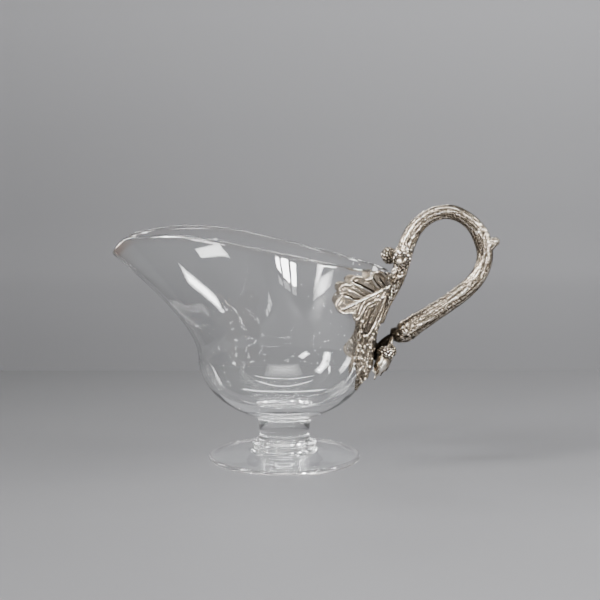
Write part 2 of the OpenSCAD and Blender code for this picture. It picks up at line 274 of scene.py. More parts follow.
def math_node(nodes, links, operation, *values, clamp=False):
    """Math node whose inputs are numbers or other nodes' outputs."""
    n = nodes.new("ShaderNodeMath")
    n.operation = operation
    n.use_clamp = clamp
    for socket, value in zip(n.inputs, values):
        if isinstance(value, (int, float)):
            socket.default_value = value
        else:
            links.new(value, socket)
    return n.outputs[0]


def centred(nodes, links, noise, spread):
    """Noise of 0 to 1 scaled to a spread about zero."""
    return math_node(nodes, links, "MULTIPLY_ADD", noise, spread, -spread / 2)


def bump_from(nodes, links, height, strength, distance, bsdf):
    """Bumps a shader's surface by a height, distance in metres."""
    bump = nodes.new("ShaderNodeBump")
    bump.inputs["Strength"].default_value = strength
    bump.inputs["Distance"].default_value = distance
    links.new(height, bump.inputs["Height"])
    links.new(bump.outputs[0], bsdf.inputs["Normal"])


def pewter(name):
    """Cast, blackened and rubbed back: the tone attribute runs from dark recess to bright ridge, and on the
    far acorns, the tie twig and the branch's lower end it also carries painted shade.
    """
    m, nodes, links, bsdf, _ = new_material(name)
    attr = nodes.new("ShaderNodeAttribute")
    attr.attribute_name = "wear_and_painted_shade"
    grain = noise_node(nodes, links, 1300.0, 3.0, 0.6)
    cloud = noise_node(nodes, links, 90.0, 3.0)
    wear_and_painted_shade = math_node(nodes, links, "ADD", attr.outputs["Fac"], centred(nodes, links, grain, 0.3))
    wear_and_painted_shade = math_node(nodes, links, "ADD", wear_and_painted_shade, centred(nodes, links, cloud, 0.25), clamp=True)
    colour = ramp_node(nodes, links, wear_and_painted_shade, [
        (0.0, (0.016, 0.013, 0.010)), (0.26, (0.075, 0.06, 0.044)), (0.48, (0.30, 0.25, 0.19)),
        (0.7, (0.66, 0.585, 0.485)), (0.92, (0.97, 0.93, 0.86))])
    links.new(colour, bsdf.inputs["Base Color"])
    rough = ramp_node(nodes, links, wear_and_painted_shade, [(0.0, (0.45,) * 3), (0.5, (0.25,) * 3), (1.0, (0.17,) * 3)])
    links.new(rough, bsdf.inputs["Roughness"])
    bsdf.inputs["Metallic"].default_value = 1.0
    bump_from(nodes, links, grain, 0.6, 0.0002, bsdf)
    return m


GLASS_IOR, SPENT_IOR, LAST_GLOSSY, GLASS_SPECULAR = 1.5, 1.001, 3.5, 0.85
GLASS_SHADOW = (0.86, 0.865, 0.875, 1)


def clear_glass(name):
    """Clear glass with a painted warm fringe where the edge attribute is high, standing in for the brownish
    lines of refracted and reflected light along its edges, and with a light shadow. After a few glossy
    bounces its IOR drops to nearly 1, so that light trapped by total reflection gets out instead of ending
    black."""
    m, nodes, links, bsdf, out = new_material(name)
    attr = nodes.new("ShaderNodeAttribute")
    attr.attribute_name = "edge"
    colour = ramp_node(nodes, links, attr.outputs["Fac"],
                       [(0.0, (0.99, 0.995, 0.996)), (1.0, (0.90, 0.80, 0.74))])
    links.new(colour, bsdf.inputs["Base Color"])
    bsdf.inputs["Roughness"].default_value = 0.0
    bsdf.inputs["Transmission Weight"].default_value = 1.0
    bsdf.inputs["Specular IOR Level"].default_value = GLASS_SPECULAR
    path = nodes.new("ShaderNodeLightPath")
    spent = math_node(nodes, links, "GREATER_THAN", path.outputs["Glossy Depth"], LAST_GLOSSY)
    bend = math_node(nodes, links, "MULTIPLY_ADD", spent, SPENT_IOR - GLASS_IOR, GLASS_IOR)
    links.new(bend, bsdf.inputs["IOR"])
    bump_from(nodes, links, noise_node(nodes, links, 38.0, 1.5), 0.18, 0.0006, bsdf)
    clear = nodes.new("ShaderNodeBsdfTransparent")
    clear.inputs["Color"].default_value = GLASS_SHADOW
    both = nodes.new("ShaderNodeMixShader")
    links.new(path.outputs["Is Shadow Ray"], both.inputs[0])
    links.new(bsdf.outputs[0], both.inputs[1])
    links.new(clear.outputs[0], both.inputs[2])
    links.new(both.outputs[0], out.inputs["Surface"])
    return m


def clear_adhesive(name):
    """Slightly cloudy clear bond under the leaves."""
    m, nodes, links, bsdf, _ = new_material(name)
    colour = ramp_node(nodes, links, noise_node(nodes, links, 400.0, 2.0),
                       [(0.3, (0.92, 0.92, 0.89)), (0.7, (0.96, 0.96, 0.95))])
    links.new(colour, bsdf.inputs["Base Color"])
    bsdf.inputs["Roughness"].default_value = 0.15
    bsdf.inputs["IOR"].default_value = 1.47
    bsdf.inputs["Transmission Weight"].default_value = 1.0
    return m


GLASS = clear_glass("clear_glass")
PEWTER = pewter("pewter")
ADHESIVE = clear_adhesive("clear_adhesive")

# ---------------------------------------------------------------- glass vessel
COLS = 288
TURNED_ROWS, LOW_ROWS, HIGH_ROWS, BEAD_ROWS, LOW_INNER_ROWS = 170, 26, 44, 13, 40
BOWL_FROM_R = STEM_TOP_R + 1.5
INNER_ROUND = math.radians(4)
RING_RISE, RING_AT, RING_W = 0.45, 17.6, 1.6  # faint ring inside the bowl's bottom, in mm and degrees
# Outline of the turned glass as (radius, height): the foot's hollow and flat ring, its top, and the stem
FOOT_UNDER = [(1.5, FOOT_HOLLOW_Z), (8, 3.98), (14, 3.85), (19, 3.4), (24, 2.5), (29, 1.75), (34, 1.1),
              (38.5, 0.55), (41.8, 0.12), (43.2, 0.0)]
FOOT_TOP = [(41, 2.95), (37, 3.35), (32, 3.95), (27, 4.7), (23.5, 5.35), (21, 5.95), (19.4, 6.5), (18.6, 7.0)]
STEM_SIDE = [(16.6, 11.35), (15.7, 11.75), (15.1, 12.5), (14.85, 13.8), (14.9, 16), (15.25, 19), (15.7, 22),
             (16.1, 24.2), (16.7, 25.6)]


def arc(cx, cz, r, a0, a1, n):
    """Points on a circular arc of the turned profile, angles in degrees."""
    t = np.radians(np.linspace(a0, a1, n))
    return [(cx + r * math.cos(x), cz + r * math.sin(x)) for x in t]


def between(a, b, c, d, t):
    """Catmull-Rom curve from b to c as t goes from 0 to 1; a and d are the points either side."""
    bend = 2 * a - 5 * b + 4 * c - d
    twist = 3 * b - a - 3 * c + d
    return 0.5 * (2 * b + (c - a) * t + bend * t * t + twist * t ** 3)


def curve_through(points, n):
    """n points evenly spaced along a smooth curve through points, and its length. Numbers after a point's
    first three, such as a radius, run along with it."""
    p = np.asarray(points, float)
    q = np.vstack([2 * p[0] - p[1], p, 2 * p[-1] - p[-2]])
    t = np.linspace(0, len(p) - 1, 40 * len(p))
    i = np.minimum(t.astype(int), len(p) - 2)
    fine = between(q[i], q[i + 1], q[i + 2], q[i + 3], (t - i)[:, None])
    run = np.concatenate([[0], np.cumsum(np.linalg.norm(np.diff(fine[:, :3], axis=0), axis=1))])
    at = np.linspace(0, run[-1], n)
    return np.stack([np.interp(at, run, fine[:, k]) for k in range(fine.shape[1])], 1), run[-1]


def glass_vessel():
    """Foot, collar, stem and bowl fused into one glass body, with a bead round the rim."""
    r = FOOT_EDGE_T / 2
    foot_edge = arc(FOOT_R - r, r, r, -90, 90, 13)
    collar = arc(COLLAR_R - COLLAR_ROUND, COLLAR_MID_Z, COLLAR_ROUND, -58, 78, 12)
    turned, _ = curve_through(FOOT_UNDER + foot_edge + FOOT_TOP + collar + STEM_SIDE, TURNED_ROWS)
    angles = np.linspace(0, 2 * np.pi, COLS, endpoint=False)
    ring = np.stack([np.cos(angles), np.sin(angles)], 1)
    turned_z = np.repeat(turned[:, None, 1:], COLS, 1)
    turned_rings = np.concatenate([turned[:, None, :1] * ring[None], turned_z], 2)
    turned_rings[turned_rings[..., 2] < 0, 2] = 0

    b = np.linspace(math.asin(BOWL_FROM_R / BELLY_R), np.pi / 2, LOW_ROWS)[:, None]
    low = wall_point(angles[None], BELLY_Z - BELLY_DEPTH * np.cos(b))
    rim_z = rim_point(angles)[2]
    h = np.linspace(0, 1, HIGH_ROWS)[1:, None]
    high = wall_point(angles[None], mix(BELLY_Z, rim_z[None], h))
    up, out = wall_up(angles, rim_z), wall_out(angles, rim_z)
    turn = np.linspace(0, np.pi, BEAD_ROWS)[1:-1, None, None]
    bead = (wall_point(angles, rim_z)[None] + out[None] * RIM_T * (np.cos(turn) - 1) / 2
            + up[None] * np.sin(turn) * RIM_T / 2)
    h_in = np.linspace(1, 0, HIGH_ROWS)[:, None]
    z_in = mix(BELLY_Z, rim_z[None], h_in)
    high_in = off_wall(angles[None] + 0 * z_in, z_in, -mix(WALL_T, RIM_T, h_in ** 6) + 0 * z_in)
    b = np.linspace(np.pi / 2, INNER_ROUND, LOW_INNER_ROWS)[1:, None]
    thick = mix(WALL_T, BOTTOM_T, np.cos(b) ** 6) + RING_RISE * hump(np.degrees(b), RING_AT, RING_W)
    low_in = off_wall(angles[None] + 0 * b, BELLY_Z - BELLY_DEPTH * np.cos(b) + 0 * angles[None],
                      -thick + 0 * angles[None])
    rings = np.concatenate([turned_rings, low, high, bead, high_in, low_in])

    # The painted warm fringe, standing in for brownish lines of light along the glass's edges, is strongest
    # on the lip's bead, and fainter on the lip, the rest of the rim and the foot's edge
    lip = smoothstep(-84, -100, rings[..., 0])
    edge = 0.25 * lip
    bead_from = len(turned_rings) + len(low) + len(high)
    near_bead = slice(bead_from - 2, bead_from + len(bead) + 2)
    edge[near_bead] = 0.2 + 0.8 * lip[near_bead]
    edge[:len(turned_rings)] = 0.45 * smoothstep(FOOT_R - 3, FOOT_R - 0.6,
                                                 np.hypot(turned_rings[..., 0], turned_rings[..., 1]))
    bottom = [0, 0, low_in[-1, :, 2].mean()]
    tube_piece("glass_vessel", rings, [0, 0, FOOT_HOLLOW_Z], bottom, ["bowl", "stem", "stem_collar", "foot"],
               GLASS, {"edge": edge})


glass_vessel()

# ---------------------------------------------------------------- branch and twigs
# Each path is a list of (x, y, z, radius)
BRANCH_PATH = [
    (57.7, 0, 82, 1.6), (59.6, 0, 88, 2.0), (61.6, 0, 94, 2.5), (64.4, 0, 101, 3.4), (67.2, 0, 108.5, 4.3),
    (69.2, 0, 116, 4.8), (71.0, 0, 123, 5.1), (73.2, 0, 130, 5.1), (76.6, 0, 137, 4.9), (82.4, 0, 143, 4.6),
    (90, 0, 147, 4.4), (98, 0, 147.6, 4.4), (105.8, 0, 144.8, 4.5), (112.6, 0, 139, 4.8),
    (117, 0, 131.4, 5.2), (118.8, 0, 122.4, 4.9), (117.2, 0, 114, 4.9), (112.4, 0, 106.2, 5.1),
    (104.6, 0, 99, 5.3), (95.6, 0, 92.4, 5.4), (86.6, 0, 86.4, 5.7), (78.6, 0, 81.2, 6.1),
    (72.6, 0, 77, 6.6), (68.4, 0, 75.3, 5.7), (65.4, 0, 75.5, 3.9), (63.2, 0, 75.8, 2.7)]
TIE_PATH = [(66.5, 0, 74.4, 2.4), (62.6, 0, 72.3, 2.5), (58.6, 0, 69, 2.6), (55.4, 0, 64.4, 2.6),
            (54, 0, 59.5, 2.2)]
STUB_PATH = [(117.5, 0, 126.9, 5.0), (121.2, 0, 128.6, 4.2), (124.2, 0, 130.0, 3.0), (126.4, 0, 130.8, 2.3)]

BARK_NOISE_R = 4.8  # the bark's noise is read round this radius, whatever the bar's own
BARK_SINK, FULL_BARK_R = 0.1, 4.5
BARK_RIDGE, BARK_GRAIN = 0.12, 0.11


def bark_tube(name, path, rows, cols, node, lump=0.08, rough_at=(), seed=0.0, darken=0.0, end_bulge=0.0,
              painted_shade_end=0.0):
    """Round bar along a path with fibrous bark: long ridges, fine grain, pits and soft lumps. rough_at lists
    lumpier places as (how far along, 0 to 1, width, height). Bars thinner than FULL_BARK_R have less bark."""
    line, length = curve_through(path, rows)
    mid, base = line[:, :3], line[:, 3]
    along = unit(np.gradient(mid, axis=0))
    across = [0.0, 0.0, 1.0] if abs(along[0][1]) > 0.9 else [0.0, 1.0, 0.0]
    side = unit(np.cross(along, np.array(across)))
    top = np.cross(along, side)
    th = np.linspace(0, 2 * np.pi, cols, endpoint=False)[None]
    s = np.linspace(0, length, rows)[:, None]
    c, q = np.cos(th + 0 * s), np.sin(th + 0 * s)
    x, y = c * BARK_NOISE_R, q * BARK_NOISE_R
    warp = NOISE(x * 0.23 + seed, y * 0.23, s * 0.05)
    fibre = NOISE(x * 0.8 + warp + seed, y * 0.8 + warp, s * 0.07)
    strand = NOISE(x * 1.4 + 9 + seed, y * 1.4 + warp, s * 0.09)
    fine = NOISE(x * 2.0 + seed, y * 2.0 + 5, s * 1.1)
    pits = smoothstep(0.05, 0.4, NOISE(x * 1.5 + 20 + seed, y * 1.5, s * 0.9))
    ridges = 0.5 * BARK_RIDGE * fibre + 1.2 * BARK_RIDGE * strand
    detail = ridges + BARK_GRAIN * fine - 1.1 * BARK_RIDGE * pits
    height = detail + lump * NOISE(x * 0.16 + 3 + seed, y * 0.16, s * 0.09)
    for centre, width, amount in rough_at:
        local = hump(s, centre * length, width)
        rough = NOISE(x * 0.55 + 40, y * 0.55, s * 0.5) + 0.45 * NOISE(x * 1.3 + 50, y * 1.3, s * 1.2)
        more = local * amount * rough
        height = height + more
        detail = detail + 0.6 * more
    hollow = detail - blur(detail, 7, 4, True)
    wear_and_painted_shade = 0.4 + 0.28 * hollow / np.std(hollow) + 0.08 * fibre
    # Painted shade: the bar's last few millimetres are darkened for the shaded mouth of the branch's cut
    # lower end; darken lowers the whole bar's tone
    wear_and_painted_shade = wear_and_painted_shade - painted_shade_end * smoothstep(length - 7, length - 1.5, s) - darken
    size = np.minimum(1, base / FULL_BARK_R)[:, None]
    radius = base[:, None] - BARK_SINK * size + height * size
    rings = mid[:, None] + radius[..., None] * (c[..., None] * side[:, None] + q[..., None] * top[:, None])
    tube_piece(name, rings, mid[0], mid[-1] + along[-1] * end_bulge, [node], PEWTER,
               {"wear_and_painted_shade": np.clip(wear_and_painted_shade, 0, 1)})


# The branch's lower end gets painted shade for its shaded mouth
bark_tube("branch_bark", BRANCH_PATH, 720, 120, "branch", painted_shade_end=0.5,
          rough_at=[(0.2, 9.0, 0.6), (0.1, 9.0, 0.5), (0.53, 6.0, 0.2), (0.96, 5.0, 0.35)])
# Painted shade: the tie twig is darkened nearly to black, standing for the shadow in the gap between the back
# leaf and the lower acorn
bark_tube("tie_bark", TIE_PATH, 80, 40, "tie_twig", seed=13.0, darken=0.8)
bark_tube("stub_bark", STUB_PATH, 60, 72, "branch_stub", lump=0.5, rough_at=[(0.8, 4.0, 0.4)], seed=31.0,
          end_bulge=1.2)

# ---------------------------------------------------------------- leaves
ARC_PER_DEG, ARC_EASE = 0.9, 0.0000415
BOND_GAP, LEAF_GAP = 0.4, 0.25
LEAF_WAVER, LEAF_ROUND, LEAF_BACK_WEAR = 0.22, 0.6, 0.3
EDGE_RIDGE, EDGE_DIP = (0.38, 0.75, 0.4), (0.2, 1.7, 0.6)  # height, how far in from the edge, width


def arc_angle(p):
    """Angle round the bowl at a distance along it from the handle's side."""
    return np.radians(p / ARC_PER_DEG - ARC_EASE * p ** 3)


def smooth_line(points, closed=False, per=8):
    """Catmull-Rom curve through 2-D points."""
    p = np.array(points, float)
    if closed:
        p = np.vstack([p[-1], p, p[0], p[1]])
    else:
        p = np.vstack([2 * p[0] - p[1], p, 2 * p[-1] - p[-2]])
    t = np.linspace(0, 1, per, endpoint=False)[:, None]
    out = [between(a, b, c, d, t) for a, b, c, d in zip(p, p[1:], p[2:], p[3:])]
    return np.vstack(out + ([] if closed else [p[-2:-1]]))


def to_segments(x, y, line, closed=False):
    """Distance to a line, the side of it (+ on the left) and how far along it, 0 to 1."""
    a = line if closed else line[:-1]
    b = np.roll(line, -1, 0) if closed else line[1:]
    best, side, at = np.full(x.shape, 1e9), np.zeros(x.shape), np.zeros(x.shape)
    for i, ((ax, ay), (bx, by)) in enumerate(zip(a, b)):
        lx, ly = bx - ax, by - ay
        t = np.clip(((x - ax) * lx + (y - ay) * ly) / max(lx * lx + ly * ly, 1e-9), 0, 1)
        d = np.hypot(x - ax - t * lx, y - ay - t * ly)
        near = d < best
        best = np.where(near, d, best)
        side = np.where(near, lx * (y - ay) - ly * (x - ax), side)
        at = np.where(near, (i + t) / len(a), at)
    return best, np.sign(side), at


def inside_line(x, y, line):
    """Whether each point is inside a closed line."""
    hit = np.zeros(x.shape, bool)
    for (ax, ay), (bx, by) in zip(line, np.roll(line, -1, 0)):
        cross = (ay > y) != (by > y)
        hit ^= cross & (x < (bx - ax) * (y - ay) / (by - ay + 1e-12 * (by == ay)) + ax)
    return hit


def sheet_faces(cell):
    """Which grid points a sheet keeps and its faces, from the cells that it covers. The top's points follow
    the bottom's, and a band of faces joins them round the edge."""
    rows, cols = cell.shape
    keep = np.zeros((rows + 1, cols + 1), bool)
    for di, dj in ((0, 0), (1, 0), (0, 1), (1, 1)):
        keep[di:rows + di, dj:cols + dj] |= cell
    count = int(keep.sum())
    index = np.full(keep.shape, -1)
    index[keep] = np.arange(count)
    i, j = np.nonzero(cell)
    quads = np.stack([index[i, j], index[i + 1, j], index[i + 1, j + 1], index[i, j + 1]], 1)
    edges = np.concatenate([quads[:, [0, 1]], quads[:, [1, 2]], quads[:, [2, 3]], quads[:, [3, 0]]])
    rim = edges[~np.isin(edges[:, 0] * count + edges[:, 1], edges[:, 1] * count + edges[:, 0])]
    sides = np.stack([rim[:, 1], rim[:, 0], rim[:, 0] + count, rim[:, 1] + count], 1)
    return keep, np.concatenate([quads[:, ::-1] + count, quads, sides])


def cast_leaf(node, outline, marks, grain, place, lift, seed, step=0.3, base_t=0.9, flip=False, knobs=None,
              tone=0.5):
    """Cast leaf laid on the bowl. outline is closed, in the leaf's own plane. marks are lines on its face as
    (points, rise, width, groove, side): a ridge with a groove on one side. grain(x, y) runs across and along
    the fine fibres. place(x, y) gives the angle and height on the bowl, and lift(x, y) how far the leaf
    stands off it. flip mirrors the leaf to the far side."""
    edge_line = smooth_line(outline, True, 6)
    (x0, y0), (x1, y1) = edge_line.min(0) - 1.0, edge_line.max(0) + 1.0
    x, y = np.meshgrid(np.arange(x0, x1, step), np.arange(y0, y1, step), indexing="ij")
    d = to_segments(x, y, edge_line, True)[0]
    d = np.where(inside_line(x, y, edge_line), -d, d)
    d = d + LEAF_WAVER * NOISE(x * 0.5 + seed, y * 0.5, seed)
    gx, gy = np.gradient(d, step)
    inside = d < 0
    cell = inside[:-1, :-1] | inside[1:, :-1] | inside[:-1, 1:] | inside[1:, 1:]
    over = np.clip(d, 0, 1.6 * step) / np.maximum(0.25, gx * gx + gy * gy)
    x, y = x - over * gx, y - over * gy
    deep = np.maximum(0, -d)
    edge = np.sqrt(np.maximum(0, 1 - (1 - np.minimum(deep / LEAF_ROUND, 1)) ** 2))
    detail = EDGE_RIDGE[0] * hump(deep, *EDGE_RIDGE[1:]) - EDGE_DIP[0] * hump(deep, *EDGE_DIP[1:])
    for points, rise, width, groove, which in marks:
        line = smooth_line(points)
        near, side, at = to_segments(x, y, line)
        fade = smoothstep(1.0, 0.85, at) * smoothstep(-0.02, 0.06, at + 0.03)
        off = near * side * which
        detail = detail + fade * (rise * hump(near, 0, width) - groove * hump(off, width * 1.5, width * 0.9))
    u, v = grain(x, y)
    fibre = NOISE(u * 1.3 + seed, v * 0.16, seed) + 0.7 * NOISE(u * 2.6, v * 0.4, seed + 5)
    detail = detail + 0.2 * fibre + 0.08 * NOISE(x * 2.1, y * 2.1, seed + 9)
    if knobs:
        detail = detail + knobs(x, y)
    raise_by = LEAF_GAP + lift(x, y)
    a, z = place(x, y)
    low = off_wall(a, z, BOND_GAP + 0.35 * (1 - edge) + raise_by)
    high = off_wall(a, z, BOND_GAP + 0.37 * (1 - edge) + (base_t + detail) * edge + raise_by)
    hollow = detail - blur(detail, 4, 4, False) + 0.5 * (detail - blur(detail, 11, 11, False))
    wear_and_painted_shade = tone + 0.26 * hollow / np.std(hollow[inside])
    keep, faces = sheet_faces(cell)
    verts = np.concatenate([low[keep], high[keep]])
    if flip:
        verts = verts * [1, -1, 1]
        faces = faces[:, ::-1]
    shade = np.concatenate([np.full(keep.sum(), LEAF_BACK_WEAR), np.clip(wear_and_painted_shade[keep], 0, 1)])
    mesh_piece(node + "_cast", verts, faces.tolist(), [node], PEWTER, {"wear_and_painted_shade": shade})


# The oak leaf on either side, with its stem at the handle; x runs towards the spout
SIDE_OUTLINE = [
    (1.5, -0.5), (4, 2.4), (8, 5.2), (11.5, 7.2), (13.6, 6.6), (16.1, 6.8), (18.2, 9.3), (21.2, 12.5),
    (24.7, 14.0), (27.6, 14.2), (29.2, 12.2), (30.4, 11.4), (32.5, 12.0), (34.4, 13.9), (36.9, 15.3),
    (40.1, 15.8), (42.9, 14.8), (42.9, 12.9), (43.6, 12.4), (47.2, 13.9), (50.4, 13.5), (52.2, 11.8),
    (52.4, 9.6), (51.6, 8.3), (54.6, 7.1), (57.3, 5.2), (57.6, 2.8), (55.9, -0.2), (52.4, -2.8), (48.5, -4.0),
    (46.2, -4.4), (45.9, -7.0), (44.8, -9.1), (41.4, -9.6), (38.2, -7.4), (34.8, -5.0), (31, -4.4),
    (24, -4.8), (14, -4.6), (6, -3.2)]
SIDE_MARKS = [
    ([(0, 0), (12, -0.6), (22, 0.3), (31, 0.7), (39, 0.6), (47, 0.3), (55, 0.2)], 1.15, 0.62, 0.75, -1),
    ([(27.5, 1.2), (32.5, 5.2), (37, 8.8), (42.6, 13.2)], 0.85, 0.5, 1.0, 1),
    ([(39.5, 1.2), (43.5, 2.6), (46, 5.2), (50.5, 7.9)], 0.8, 0.45, 0.9, 1),
    ([(15.5, 0.3), (20.4, 4.6), (24.2, 9.5)], 0.35, 0.5, 0.9, 1),
    ([(9, 0.5), (12, 3.2), (14.4, 6.6)], 0.6, 0.5, 0.8, 1),
    ([(21, 1.5), (26, 6.5), (29.4, 12.2)], 0.5, 0.45, 0.6, 1),
    ([(35, 1.2), (40, 5.5), (46, 9.8)], 0.35, 0.4, 0.4, 1),
    ([(34.5, -0.5), (38.5, -3.2), (42.5, -7.4)], 0.4, 0.4, 0.5, 1),
    ([(22, -0.5), (25, -2.4), (30, -4.6)], 0.4, 0.4, 0.6, 1),
    ([(12, -0.8), (16, -2.6), (21, -4.6)], 0.4, 0.4, 0.6, 1)]


def side_place(tilt, z0):
    """Place of a side leaf whose stem starts at a height on the bowl and whose tip hangs by an angle."""
    c, q = math.cos(math.radians(tilt)), math.sin(math.radians(tilt))
    return lambda x, y: (-arc_angle(x * c + y * q), z0 - x * q + y * c)


def side_grain(x, y):
    """Across and along the fine fibres, which slant forward from the midrib on both sides."""
    up = smoothstep(-0.5, 0.5, y)
    c, q = math.cos(math.radians(43)), math.sin(math.radians(43))
    return (mix(x * 0.85 + y * 0.5, x * q - y * c, up), mix(y, x * c + y * q, up))


def side_lift(x, y):
    """Waves along the edges of the leaf's stem half, and a rise at its lower edge and tip."""
    return (1.5 * smoothstep(2, 13, np.abs(y)) * smoothstep(34, 8, x) * (1 + 0.5 * np.sin(x * 0.8))
            + 0.9 * smoothstep(-1, -6, y) * smoothstep(30, 36, x) + 0.5 * smoothstep(44, 57, x)
            + 0.6 * smoothstep(0.5, -2.5, y) * smoothstep(36, 28, x))


for node, tilt, z0 in (("left_leaf", 15.6, 109.0), ("right_leaf", 20.5, 107.0)):
    cast_leaf(node, SIDE_OUTLINE, SIDE_MARKS, side_grain, side_place(tilt, z0), side_lift, seed=tilt,
              flip=node == "right_leaf")

BACK_Z = 106.0
# The forked back leaf, near half: down its outer edge to the tip, then up to the fork; x is how far down
BACK_HALF = [
    (3.2, 4), (4.2, 10), (6.2, 17), (8.8, 25), (10.6, 30), (13.5, 31.6), (17, 32.6), (20.5, 34.4), (24, 34.2),
    (27, 35.2), (31, 34.6), (35, 36), (40, 36.8), (44, 36), (48, 34.6), (51.5, 34), (55, 32), (59.6, 28.2),
    (57.2, 25), (54.6, 20.5), (53.2, 14.5), (50.4, 10.5), (49, 5.5), (46, 2.5)]
# The far half is narrower above, and one of its lobes reaches further out
FAR_NARROW, FAR_LOBE = 0.86, 5.5
BACK_OUTLINE = [(x, -y) for x, y in BACK_HALF] + [
    (x, y * (FAR_NARROW if x < 40 else 1.0) + (FAR_LOBE if 40 < x < 50 and y > 30 else 0))
    for x, y in BACK_HALF[::-1]]
# Marks of one half; the last number is the groove's side there
BACK_HALF_MARKS = [
    ([(5, 4), (15, 7.5), (28, 15), (42, 22), (57, 27.5)], 0.4, 0.5, 0.7, 1),
    ([(5, 10), (13, 15), (24, 22), (31, 27)], 0.5, 0.5, 0.8, 1),
    ([(7, 18), (14, 22), (22, 27)], 0.5, 0.5, 0.8, -1),
    ([(12, 3), (22, 6), (34, 9)], 0.5, 0.5, 0.8, 1),
    ([(28, 15), (33, 24), (38, 33)], 0.3, 0.4, 0.6, 1),
    ([(42, 22), (45, 28), (48, 33)], 0.3, 0.4, 0.5, 1),
    ([(36, 19), (42, 15), (48, 9)], 0.3, 0.4, 0.5, 1)]
BACK_MARKS = [([(0, 0), (16, 0.3), (30, -0.3), (46, 0)], 1.0, 0.9, 0.7, 1)]
for half in (-1, 1):
    for points, *sizes, side in BACK_HALF_MARKS:
        BACK_MARKS.append(([(x, y * half) for x, y in points], *sizes, side * half))


def back_place(x, y):
    """Place on the bowl of a point of the back leaf."""
    return -arc_angle(-y), BACK_Z - x


def back_grain(x, y):
    """Across and along the fine fibres, which run down and outwards."""
    return np.abs(y) - 0.45 * x, x


def back_knobs(x, y):
    """Small shiny knobs and pits, thicker towards the tips."""
    much = smoothstep(8, 26, x)
    return much * (1.1 * np.maximum(0, NOISE(x * 0.62 + 3, y * 0.8, 14.0) - 0.05)
                   - 0.8 * np.maximum(0, NOISE(x * 0.8 + 13, y * 1.1, 24.0) - 0.1)
                   + 0.35 * NOISE(x * 1.5, y * 1.5, 34.0))


def back_lift(x, y):
    """Lumps towards the tips, folds near the top and two bulges on the middle line."""
    lumps = np.maximum(0, NOISE(x * 0.4 + 3, y * 0.4, 4.0) - 0.1) * 1.6 * smoothstep(18, 30, x)
    wave = 0.6 + 0.6 * np.cos(np.abs(y) * 0.6 - x * 0.25)
    folds = smoothstep(2, 8, np.abs(y)) * smoothstep(32, 14, x) * wave
    return lumps + folds + 1.3 * hump(x, 21, 4) * hump(y, 0, 6) + hump(x, 37, 3) * hump(y, 1, 5)


cast_leaf("back_leaf", BACK_OUTLINE, BACK_MARKS, back_grain, back_place, back_lift, seed=11.0, step=0.36,
          base_t=1.0, knobs=back_knobs, tone=0.34)

# ---------------------------------------------------------------- acorns
CUP_R, CUP_H, STALK_R = 5.2, 6.0, 1.3
CUP_ROWS, CUP_INNER_ROWS, CUP_COLS = 120, 23, 150
SCALE_ROW, SCALES_ROUND = 1.7, 12
CUP_FLOOR = 1.2
NUT_ROWS, NUT_COLS = 120, 96
# Painted shade: the acorns on the far side of the handle are darkened for the shadow they hang in
FAR_PAINTED_SHADE = 0.18
# Top of the cup, direction to the nut's point, where the stalk starts, nut's radius and length beyond the cup
ACORNS = {
    "upper_left": ((69.6, -6.6, 121.6), (-0.16, -0.95, -0.26), (72, -4, 128), 3.4, 6.0),
    "upper_right": ((64.8, 5.6, 122.6), (-0.42, 0.84, -0.34), (70, 2.5, 129.5), 3.4, 6.0),
    "lower_left": ((61.7, -6.6, 68.2), (-0.4, -0.12, -0.91), (64.8, -1.5, 74.2), 4.2, 15.0),
    "lower_right": ((63.6, 6.4, 68), (-0.26, 0.16, -0.95), (64.6, 1.5, 73.8), 4.0, 15.0),
}


def placed(points, top, direction):
    """Turns points modelled about +Z so that +Z lies along a direction from a point."""
    d = unit(np.array(direction, float))
    x = unit(np.cross([0.0, 1.0, 0.0], d)) if abs(d[1]) < 0.9 else unit(np.cross([1.0, 0.0, 0.0], d))
    y = np.cross(d, x)
    return np.array(top) + points[..., :1] * x + points[..., 1:2] * y + points[..., 2:] * d


def turned_grid(profile, cols):
    """Grid of points of a profile of (radius, height) turned about Z, and the angles."""
    th = np.linspace(0, 2 * np.pi, cols, endpoint=False)[None]
    r, z = profile[:, :1], profile[:, 1:]
    return np.stack([r * np.cos(th), r * np.sin(th), z + 0 * th], -1), th


def acorn_part(node, top, direction, grid, low, high, wear_and_painted_shade):
    """Turned part of an acorn, closed on its axis at two heights."""
    rings, first, last = [placed(np.array(points, float), top, direction)
                          for points in (grid, (0, 0, low), (0, 0, high))]
    tube_piece(node + "_cast", rings, first, last, [node], PEWTER, {"wear_and_painted_shade": np.clip(wear_and_painted_shade, 0, 1)})


